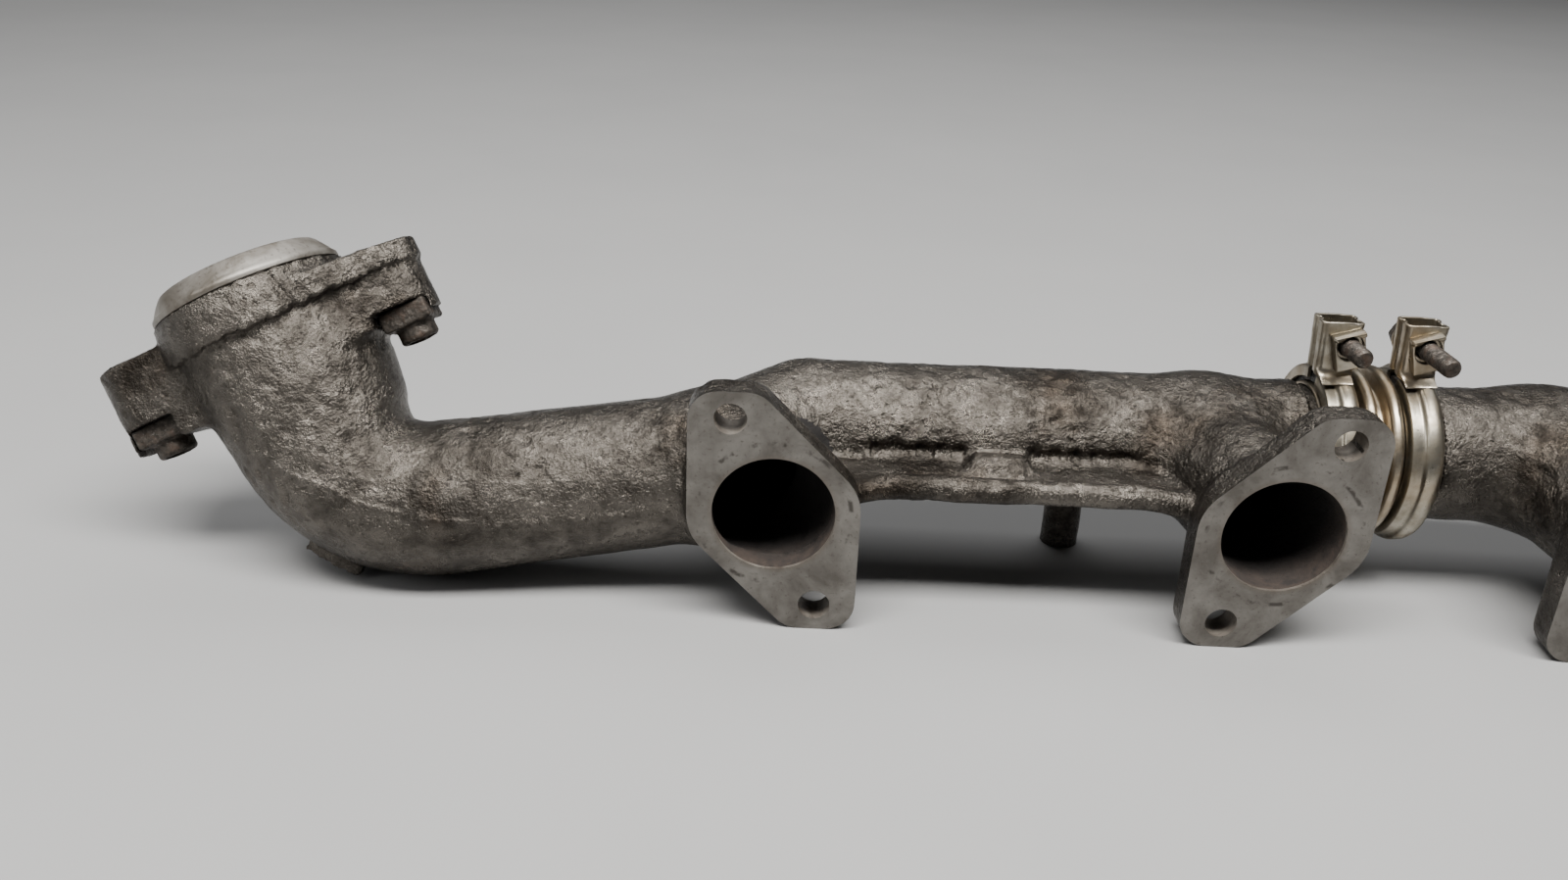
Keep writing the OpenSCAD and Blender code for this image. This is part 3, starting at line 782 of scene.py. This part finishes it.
def build_casting(name, body_name, nodes, corners, solids, passages, pockets, cuts):
    """One continuous skin over all of a casting's CAD sections."""
    field = Field(*corners, CAST_STEP)
    for shape, low, high, blend in solids:
        field.add(shape, low, high, blend)
    for shape, low, high, blend in passages + pockets:
        field.remove(shape, low, high, blend)
    field.values += CAST_SHRINK
    body = Field(*corners, CAST_STEP)
    body.values = field.values.copy()
    verts, quads, cells = mesh_field(field, cuts)
    verts, changes = settle_crisp(body, verts, cells, cuts)
    plain = np.abs(verts[:, 0] - JOINT_X) < SPIGOT_STEP + 1
    for change, (_, _, cut) in zip(changes[1:], cuts):
        plain |= change & (np.abs(cut(*verts.T)) < 0.05)
    normal = outward(body.sample, verts, CAST_STEP / 2)
    verts += np.where(plain, 0, casting_relief(verts, normal))[:, None] * normal
    verts[:, 1] = np.maximum(verts[:, 1], 0)
    verts[:, 2] = np.maximum(verts[:, 2], LOWEST_Z)
    slots = casting_slots(verts[quads].mean(1), passages, cuts)
    obj = store(name, verts, quads, [CAST, FACE, BORED, SOOT_AND_SHADE], slots)
    # depth is each point's distance behind the flange face; the passage material uses it to paint shade
    # deeper inside
    for label, values in (("port_radius", port_radius(verts)), ("depth", verts[:, 1])):
        layer = obj.data.attributes.new(label, "FLOAT", "POINT")
        layer.data.foreach_set("value", values.astype(np.float32))
    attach(obj, body_name)
    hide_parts(*nodes)


def within(from_x, to_x, y=(0, 100), z=(-60, 60)):
    """Corners of the part of a grid in which a shape is worked out."""
    return (from_x, y[0], z[0]), (to_x, y[1], z[1])


def web(from_x, to_x):
    return box(HERE, [from_x, 13, 1.4], [to_x, LOG_Y, 4.6], 1.0)


def web_lip(from_x, to_x):
    """Thick rounded front edge of the web, drooping where it meets the flanges."""
    def shape(x, y, z):
        along = np.clip(x, from_x, to_x)
        near = np.minimum(along - from_x, to_x - along)
        droop = 7.0 * np.clip(1 - near / 24.0, 0, 1) ** 2
        wave = 0.25 * np.sin(0.17 * x) + 0.15 * np.sin(0.41 * x + 1)
        height = (z - 3.4 + droop) * 0.92
        return np.sqrt((x - along) ** 2 + (y - 15.0 - wave) ** 2 + height ** 2) - 3.7
    return shape


def web_slot(from_x, to_x):
    """Ragged pocket along the web's top, undercutting the root of the log pipe."""
    def shape(x, y, z):
        middle = np.clip(x, from_x, to_x)
        ragged = 0.3 * np.sin(0.9 * x) + 0.25 * np.sin(2.3 * x + 1) + 0.2 * np.sin(5.1 * x)
        depth, height = (y - 30.5) * 0.66, (z - 7.2) * 1.05
        return np.sqrt((x - middle) ** 2 + depth ** 2 + height ** 2) - 2.9 - ragged
    return shape


NEAR_OUTLET = ((-1e3,) * 3, (14.0, 1e3, 1e3))
NEAR_SEAT = ((-1e3, -1e3, -20), (-90, 1e3, 1e3))
NEAR_NUTS = ((-1e3,) * 3, (-80, 1e3, 1e3))
RUNNER_DEPTH = (-20, 100)
PASSAGE_DEPTH = (-30, 100)
BORE_R = LOG_R - WALL
BOSS = (97.5, 63)
FRONT_LOG_END = JOINT_X - SPIGOT_STEP
REAR_LOG_START, REAR_LOG_END = JOINT_X + SPIGOT_STEP, PORT_X[3] + 8


def closed_end(r):
    return capsule([REAR_LOG_END - 1, LOG_Y, LOG_Z], [REAR_LOG_END, LOG_Y, LOG_Z], r, r)


def web_solids(port, lip_blend):
    """The web from a port's flange to the next one's."""
    from_x, to_x = PORT_X[port] + 12, PORT_X[port + 1] - 14
    reach = from_x - 12, to_x + 26
    return [(web(from_x, to_x), *within(*reach, (0, 60), (-20, 40)), 2.5),
            (web_lip(from_x + 2, to_x - 2), *within(*reach, (0, 40), (-30, 30)), lip_blend)]


def flanges(*ports):
    return [(flange_shape(p), *within(PORT_X[p] - 40, PORT_X[p] + 40, (-10, 16)), 3) for p in ports]


def front_solids():
    return [
        (outlet_skin, *NEAR_OUTLET, 0),
        (outlet_tab, *within(-160, -110, (0, 40), (-50, -10)), 1.6),
        (ear_foot, *NEAR_SEAT, 5.0),
        (lower_ear, *NEAR_SEAT, 4.0),
        (outlet_collar, *NEAR_SEAT, 0.5),
        (capsule(JUNCTION, LOG_START, 22.6, LOG_R), *within(-60, 60), 6),
        (bar_x(LOG_R, LOG_START[0], FRONT_LOG_END), *within(0, 200), 2),
        (bar_x(SPIGOT_R, 140, JOINT_X - SPIGOT_END, 0.3), *within(135, 200), 0),
        (capsule([0, 8, 0], JUNCTION, RUNNER_R, 22.0), *within(-60, 60, RUNNER_DEPTH), 5),
        (runner(1, RUNNER_R), *within(100, 200, RUNNER_DEPTH), 8),
        *web_solids(0, 1.2),
        (capsule([63, 28.0, 4.0], [74, 28.0, 4.0], 5.0, 5.0), *within(45, 95, (10, 50), (-20, 30)), 4),
        *flanges(0, 1),
        (capsule([*BOSS, -44], [*BOSS, -5], 6.3, 6.6), *within(80, 115, (50, 80), (-60, 10)), 4),
    ]


def front_passages():
    return [
        (outlet_bore, *NEAR_OUTLET, 0),
        (capsule(JUNCTION, LOG_START, 18, BORE_R), *within(-60, 60), 3),
        (bar_x(BORE_R, LOG_START[0] - 4, JOINT_X + 4, 0.1), *EVERYWHERE, 2),
        (capsule([0, 9, 0], JUNCTION, PORT_R - 0.5, 18), *within(-60, 60, PASSAGE_DEPTH), 2),
        (runner(1, PORT_R - 0.4), *within(100, 200, PASSAGE_DEPTH), 3),
    ]


def front_pockets():
    return [
        (web_slot(31, 57), *within(20, 70, (10, 40), (0, 20)), 0.5),
        (web_slot(80, 110), *within(70, 120, (10, 40), (0, 20)), 0.5),
        (nut_slot(1), *NEAR_NUTS, 0),
        (nut_slot(-1), *NEAR_NUTS, 0),
    ]


def rear_solids():
    return [
        (bar_x(LOG_R, REAR_LOG_START, REAR_LOG_END), *EVERYWHERE, 0),
        (bar_x(SPIGOT_R, JOINT_X + SPIGOT_END, 230, 0.3), *within(180, 235), 0),
        (closed_end(LOG_R), *within(380, 460), 0),
        (runner(2, RUNNER_R), *within(200, 300, RUNNER_DEPTH), 10),
        (runner(3, RUNNER_R), *within(350, 450, RUNNER_DEPTH), 10),
        *web_solids(2, 1.5),
        *flanges(2, 3),
    ]


def rear_passages():
    return [
        (bar_x(BORE_R, JOINT_X - 4, REAR_LOG_END, 0.1), *EVERYWHERE, 0),
        (closed_end(BORE_R), *within(380, 460), 0),
        (runner(2, PORT_R - 0.4), *within(200, 300, PASSAGE_DEPTH), 3),
        (runner(3, PORT_R - 0.4), *within(350, 450, PASSAGE_DEPTH), 3),
    ]


def outlet_cuts():
    """The outlet's two bolt holes, and the flat foot of the support boss."""
    cuts = []
    for end in (-1, 1):
        centre = (SEAT_FRAME @ [end * BOLT_R, 0, EAR_TOP - EAR_T / 2, 1])[:3]
        cuts.append(hole_cut(centre, SEAT_FRAME[:3, 2], BOLT_HOLE_R, -18, 16))
    foot = LOWEST_Z + 0.05
    cuts.append((np.array([85, 50, -50]), np.array([110, 76, -36]),
                 lambda x, y, z: foot - z + 0 * x + 0 * y))
    return cuts


# The grids' planes keep clear of y = 0, where the flanges' faces are cut
build_casting("front_casting_skin", "front",
              ["outlet_collar", "outlet_bend", "outlet_pipe", "port_1_branch", "front_log_pipe",
               "port_2_branch"], ([-214.3, -4.37, -42.3], [184, 80, 69]),
              front_solids(), front_passages(), front_pockets(), head_cuts([0, 1]) + outlet_cuts())
build_casting("rear_casting_skin", "rear", ["port_3_branch", "rear_log_pipe", "port_4_branch"],
              ([188.2, -4.37, -41.3], [438, 80, 41]),
              rear_solids(), rear_passages(), [], head_cuts([2, 3]))


# ---------- Turned pieces ----------

def turned(name, matrix, profile, material, start=0.0, stop=360.0, steps=120, wobble=0.0):
    """Sweeps a closed profile of (radius, height) points about a placed frame's Z."""
    profile = np.array(profile, float)
    area = np.sum(profile[:, 0] * np.roll(profile[:, 1], -1) - np.roll(profile[:, 0], -1) * profile[:, 1])
    if area < 0:
        profile = profile[::-1]
    full = stop - start >= 360
    n, rings = len(profile), steps if full else steps + 1
    angles = np.radians(np.linspace(start, stop, steps + 1))[:rings]
    r, h = profile[None, :, 0], profile[None, :, 1]
    c, s = np.cos(angles)[:, None], np.sin(angles)[:, None]
    points = np.stack([r * c, r * s, h + 0 * r * c, np.ones((rings, n))], -1).reshape(-1, 4)
    if wobble:
        change = wobble * value_noise(points[:, :3], 9.0, 2, 3.1)
        points[:, :2] *= 1 + (change / np.maximum(np.hypot(points[:, 0], points[:, 1]), 1))[:, None]
    verts = (points @ matrix.T)[:, :3]
    quads = []
    for i in range(rings if full else rings - 1):
        a, b = i * n, ((i + 1) % rings) * n
        quads += [[a + k, b + k, b + (k + 1) % n, a + (k + 1) % n] for k in range(n)]
    if not full:
        quads.append(list(range(n)))
        quads.append([(rings - 1) * n + k for k in reversed(range(n))])
    return store(name, verts, quads, [material], smooth_angle=40.0)


def arc(centre, r, from_angle, to_angle, steps=8):
    return [(centre[0] + r * math.cos(math.radians(a)), centre[1] + r * math.sin(math.radians(a)))
            for a in np.linspace(from_angle, to_angle, steps + 1)]


def dress(obj, body_name, node):
    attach(obj, body_name)
    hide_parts(node)


def along_log(x):
    return LOG_FRAME @ shift([0, 0, x])


def build_bellows():
    sheet, cuff, edge, bend = 0.7, CUFF_R, 17.6, 1.9
    crest = CREST_R - bend
    outer = [(cuff + 0.9, -edge + 0.3), (cuff + 0.9, -6.9)]
    for x in (-CREST_OFFSET, CREST_OFFSET):
        outer += arc((cuff + 1.9, x - 2.9), 1.0, 180, 90, 4) + [(crest, x - bend)]
        outer += arc((crest, x), bend, -90, 90, 12)
        outer += [(crest, x + bend)] + arc((cuff + 1.9, x + 2.9), 1.0, -90, -180, 4)
    outer += [(cuff + 0.9, 6.9), (cuff + 0.9, edge - 0.3), (cuff + 0.6, edge), (cuff, edge)]
    inner = [(cuff, 5.2)]
    for x in (CREST_OFFSET, -CREST_OFFSET):
        inner += [(cuff, x + bend - sheet)] + arc((crest, x), bend - sheet, 90, -90, 10)
        inner += [(cuff, x - bend + sheet)]
    inner += [(cuff, -edge), (cuff + 0.6, -edge)]
    obj = turned("bellows_skin", along_log(JOINT_X), outer + inner, SLEEVE, steps=160, wobble=0.12)
    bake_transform(obj)
    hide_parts("bellows")


# Section of a clamp band: a stepped outside over a hollow that holds the seal ring
BAND_PROFILE = [
    (23.2, -5.0), (26.2, -5.0), (26.9, -4.5), (27.2, -3.2), (27.1, -1.9), (27.3, -1.3), (27.9, -0.9),
    (28.5, -0.5), (28.75, 0.3), (28.8, 1.6), (28.65, 3.1), (28.2, 4.0), (27.3, 4.7), (25.6, 5.0),
    (23.2, 5.0), (23.2, 3.9), (25.8, 3.8), (27.0, 3.0), (27.2, 0.6), (25.9, -2.0), (25.6, -3.9),
    (23.2, -4.0)]


def build_band(name, x):
    """A clamp band, split under its screw, and the seal ring inside it."""
    gap = math.degrees(math.asin(4.0 / 28.0))
    band = turned(name + "_band_skin", along_log(x), BAND_PROFILE, SHEET, 180 + gap, 540 - gap, 150, 0.14)
    dress(band, name, name + "_clamp_band")
    r = CUFF_R + 0.95
    ring = [(r, -2.8), (r + 0.4, -3.2), (r + 3.0, -3.2), (r + 3.4, -2.8), (r + 3.4, 2.8),
            (r + 3.0, 3.2), (r + 0.4, 3.2), (r, 2.8)]
    seal = turned(name + "_seal_skin", along_log(x), ring, SEAL, steps=90, wobble=0.1)
    dress(seal, name, name + "_seal_ring")


def build_liner():
    ring = [(16.14, -16.7), (16.4, -17), (16.9, -17), (17.13, -16.7), (17.13, 16.7), (16.9, 17),
            (16.4, 17), (16.14, 16.7)]
    liner = turned("slip_liner_skin", along_log(JOINT_X), ring, SLEEVE)
    dress(liner, "front", "slip_liner")


def build_seat_ring():
    """Round-shouldered ring on the outlet, its top an arc about a point below the flange."""
    ring = [(23.5, -4), (26.3, -4), (26.3, 0.03), (28.6, 0.03), (29.0, 0.3), (29.15, 1.0), (29.1, 1.9)]
    ring += [(32.9 * math.cos(a), -14 + 32.9 * math.sin(a)) for a in np.radians(np.linspace(30.5, 40.5, 9))]
    ring += [(24.6, 7.75), (24.1, 7.9), (23.75, 7.7), (23.5, 7.3)]
    seat = turned("seat_ring_skin", SEAT_FRAME, ring, SEAT, steps=160, wobble=0.1)
    dress(seat, "front", "outlet_seat_ring")


build_bellows()
build_band("front", JOINT_X - CLAMP_OFFSET)
build_band("rear", JOINT_X + CLAMP_OFFSET)
build_liner()
build_seat_ring()


# ---------- Small forged and folded pieces ----------

def from_field(name, matrix, low, high, solids, hollows, material, ripple=0.05):
    """A small piece meshed in its own placed frame."""
    field = Field(low, high, FINE_STEP)
    for shape, blend in solids:
        field.add(shape, *EVERYWHERE, blend)
    for shape, blend in hollows:
        field.remove(shape, *EVERYWHERE, blend)
    field.values += FINE_SHRINK
    verts, quads, _ = mesh_field(field)
    half = FINE_STEP / 2
    for _ in range(2):
        step = np.clip(field.sample(verts), -half, half)[:, None]
        verts = verts - step * outward(field.sample, verts, half)
    verts += (ripple * value_noise(verts, 2.2, 2))[:, None] * outward(field.sample, verts, half)
    verts = (np.c_[verts, np.ones(len(verts))] @ matrix.T)[:, :3]
    return store(name, verts, quads, [material], smooth_angle=40.0)


def build_outlet_nut(end, name):
    """Captive square nut with a round tail."""
    matrix = SEAT_FRAME @ shift([end * BOLT_R, 0, EAR_TOP - EAR_T + 3.98])
    solids = [(box(HERE, [-7.7, -7.7, -6.4], [7.7, 7.7, 0], 0.9), 0),
              (bar(HERE, 6.0, -11.4, -4, 1.3), 1.2)]

    def thread(x, y, z):
        turns = z / 1.5 - np.arctan2(y, x) / (2 * math.pi)
        ridge = np.abs(turns - np.round(turns)) * 2
        return np.sqrt(x ** 2 + y ** 2) - 4.3 - 0.5 * ridge
    mouth = capsule([0, 0, -16], [0, 0, -11.2], 8.0, 4.4)
    obj = from_field(name + "_skin", matrix, [-8.6, -8.6, -12.4], [8.6, 8.6, 1], solids,
                     [(thread, 0), (mouth, 0)], RUST, 0.12)
    dress(obj, "front", name)


def head_frame(x):
    return shift([x, LOG_Y, SCREW_Z]) @ turn("Z", HEAD_YAW)


def folded_box(shift_x, from_y, to_y, top, wall, inner):
    """Open-topped rounded sleeve that narrows towards the band.

    inner is which way along Y its inner wall lies, which is cut lower than the others.
    """
    mid_y, half_y = (from_y + to_y) / 2, (to_y - from_y) / 2

    def shape(x, y, z):
        half_x = 6.9 - 1.6 * np.clip((top - z) / 22.0, 0, 1)
        corner = min(1.9, half_y - 0.1)
        flat = overlap(np.abs(x - shift_x) - half_x + corner, np.abs(y - mid_y) - half_y + corner) - corner
        sheet = np.abs(flat + wall / 2) - wall / 2 + 0.3
        low = 4.5 * np.clip(inner * (y - mid_y) - half_y + 1.6, 0, 1) * (np.abs(x - shift_x) < 5.0)
        rim = z - top + 0.3 + 0.5 * np.clip((x - shift_x) / 7, 0, 1) + low
        return overlap(sheet, rim) - 0.3
    return shape


def screw_passage(r, low, high):
    return bar(LAID, r, low, high)


def under_band(x_at, r):
    """Space inside the clamp band, in the head's own frame."""
    m = head_frame(x_at)

    def shape(x, y, z):
        wy = m[1, 0] * x + m[1, 1] * y + m[1, 3]
        wz = z + m[2, 3]
        return np.sqrt((wy - LOG_Y) ** 2 + (wz - LOG_Z) ** 2) - r
    return shape


def band_foot(x_at, shift_x, from_y, to_y):
    """Fillet that runs from the sleeve's front wall down onto the clamp band and thins out."""
    above = under_band(x_at, CLAMP_R + 0.03)

    def shape(x, y, z):
        thick = 0.35 + 0.8 * np.clip((y - from_y) / (to_y - from_y), 0, 1)
        return np.maximum(np.maximum(above(x, y, z) - thick, np.abs(x - shift_x) - 5.0),
                          np.maximum(from_y - y, y - to_y))
    return shape


def build_head(name, x, saddle_shift, tip):
    """A clamp's folded saddles, nut plate, washer and screw."""
    matrix = head_frame(x)
    inside = under_band(x, CLAMP_R + 0.02)
    front = from_field(name + "_nut_saddle_skin", matrix, [-10.5, -17, -15.5], [9.5, -1.5, 9],
                       [(folded_box(saddle_shift, -7.6, -2.6, 7.2, 1.1, 1), 0),
                        (band_foot(x, saddle_shift, -11.5, -6.4), 2.0)],
                       [(screw_passage(3.3, -12, 2), 0), (inside, 0)], SHEET)
    dress(front, name, name + "_nut_saddle")
    back = from_field(name + "_head_saddle_skin", matrix, [-10.5, -3.5, -12.5], [9.5, 2.5, 10],
                      [(folded_box(saddle_shift, -2.2, 1.4, 7.3, 1.1, -1), 0)],
                      [(screw_passage(3.3, -4, 4), 0), (inside, 0)], SHEET)
    dress(back, name, name + "_head_saddle")

    back_y = -7.65
    nut = from_field(name + "_nut_plate_skin", matrix @ turn("Y", PLATE_ROLL),
                     [-5.8, -12.8, -8.4], [5.8, -6.8, 5.4],
                     [(box(HERE, [-4.8, back_y - 2.6, -7.4], [4.8, back_y, 4.4], 0.3), 0),
                      (box(HERE, [-4.8, back_y - 4.0, 3.0], [4.8, back_y, 4.4], 0.35), 0.7)],
                     [(screw_passage(3.06, -14, -6), 0), (screw_passage(4.1, -14, back_y - 1.2), 0.3)],
                     SHEET)
    dress(nut, name + "_nut_plate_body", name + "_nut_plate")

    ring = [(3.2, 0.0), (5.8, 0.0), (6.0, 0.2), (6.0, 1.0), (5.7, 1.2), (3.4, 1.2), (3.2, 1.0)]
    washer = turned(name + "_washer_skin", matrix @ shift([0, 1.45, 0]) @ LAID, ring, SHEET, steps=64)
    dress(washer, name, name + "_washer")
    build_screw(name, matrix, tip, 2.7)


def build_screw(name, matrix, tip, seat_y):
    """Threaded shank and hexagon head, as one stack of rings along local Y."""
    around, rings_per_mm = ((60, 10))
    angles = np.arange(around) * 2 * math.pi / around
    length = seat_y - tip
    steps = int(length * rings_per_mm)
    rings = [(tip, 0 * angles + 0.02)]
    for i in range(steps + 1):
        y = tip + length * i / steps
        turns = y - angles / (2 * math.pi)
        groove = 0.28 * (0.5 + 0.5 * np.cos(2 * math.pi * turns))
        r = 2.98 - groove * (y < -1)
        rings.append((y, np.minimum(r, 2.3 + (y - tip) * 0.9)))
    head = 4.85 / np.cos((angles + math.pi / 6) % (math.pi / 3) - math.pi / 6)
    for y, limit in ((0.0, 5.2), (0.25, 5.7), (3.0, 5.7), (3.4, 5.3), (3.75, 4.7)):
        rings.append((seat_y + y, np.minimum(head, limit)))
    for y, r in ((3.8, 4.3), (3.5, 3.6), (3.5, 0.02)):
        rings.append((seat_y + y, 0 * angles + r))
    y = np.repeat([r[0] for r in rings], around)
    r = np.concatenate([r[1] for r in rings])
    a = np.tile(angles, len(rings))
    points = np.c_[r * np.sin(a), y, r * np.cos(a)]
    points += 0.06 * value_noise(points, 1.3, 2)[:, None] * np.c_[np.sin(a), 0 * a, np.cos(a)]
    verts = (np.c_[points, np.ones(len(points))] @ matrix.T)[:, :3]
    quads = []
    for a in range(0, (len(rings) - 1) * around, around):
        b = a + around
        quads += [[a + k, a + (k + 1) % around, b + (k + 1) % around, b + k] for k in range(around)]
    quads.append(list(reversed(range(around))))
    quads.append([(len(rings) - 1) * around + k for k in range(around)])
    obj = store(name + "_screw_skin", verts, quads, [RUST], smooth_angle=35.0)
    dress(obj, name + "_screw_body", name + "_screw")


build_outlet_nut(1, "upper_outlet_nut")
build_outlet_nut(-1, "lower_outlet_nut")
build_head("front", JOINT_X - CLAMP_OFFSET + 0.3, -2.0, -20.5)
build_head("rear", JOINT_X + CLAMP_OFFSET - 1.0, 0.0, -25.5)


# ---------- Floor, light and camera ----------

def build_floor():
    material, shader, place = new_material("pale_floor")
    cloud = noise(place, 120.0, 3.0)
    feed(mix_colour(cloud, (0.28,) * 3, (0.31, 0.3085, 0.3065)), shader.inputs["Base Color"])
    shader.inputs["Roughness"].default_value = 0.7
    z = CAD_LOW[2] / MM - FLOOR_CLEARANCE
    corners = [[x, y, z] for x, y in ((-4000, -3000), (4000, -3000), (4000, 5000), (-4000, 5000))]
    return store("floor", corners, [[0, 1, 2, 3]], [material])


def area_light(name, place, target, size, power, colour=(1.0, 1.0, 1.0)):
    """Rectangular lamp; places and sizes are in metres."""
    data = bpy.data.lights.new(name, "AREA")
    data.shape = "RECTANGLE"
    data.size, data.size_y = size
    data.energy = power
    data.color = colour
    obj = bpy.data.objects.new(name, data)
    bpy.context.scene.collection.objects.link(obj)
    obj.location = place
    obj.rotation_euler = (Vector(target) - Vector(place)).to_track_quat("-Z", "Y").to_euler()


def light_room():
    world = bpy.data.worlds.new("soft_room")
    world.use_nodes = True
    background = next(n for n in world.node_tree.nodes if n.type == "BACKGROUND")
    background.inputs["Color"].default_value = (0.75, 0.76, 0.78, 1.0)
    background.inputs["Strength"].default_value = 0.11
    bpy.context.scene.world = world


def place_camera():
    """Camera that shows the manifold as the photograph does."""
    data = bpy.data.cameras.new("camera")
    data.lens = 30.74
    data.sensor_width = 36.0
    data.clip_start = 0.01
    camera = bpy.data.objects.new("camera", data)
    bpy.context.scene.collection.objects.link(camera)
    right = Vector((0.99900753, 0.02295371, 0.03817183))
    up = Vector((-0.04428335, 0.4196681, 0.90659675))
    aim = Matrix((right, up, right.cross(up))).transposed().to_4x4()
    camera.matrix_world = Matrix.Translation(Vector((4.001, -343.083, 182.971)) * MM) @ aim
    bpy.context.scene.camera = camera


floor = build_floor()
area_light("key", (0.12, -0.36, 1.1), (0.1, 0.05, 0.0), (1.4, 0.32), 48.0, (1.0, 0.985, 0.96))
area_light("overhead", (0.1, 1.0, 1.4), (0.1, 0.9, 0.0), (2.6, 1.2), 20.0)
area_light("left_glint", (-1.0, -0.4, 0.5), (-0.1, 0.03, 0.0), (0.4, 0.6), 3.0)
light_room()
place_camera()

bpy.context.view_layer.update()
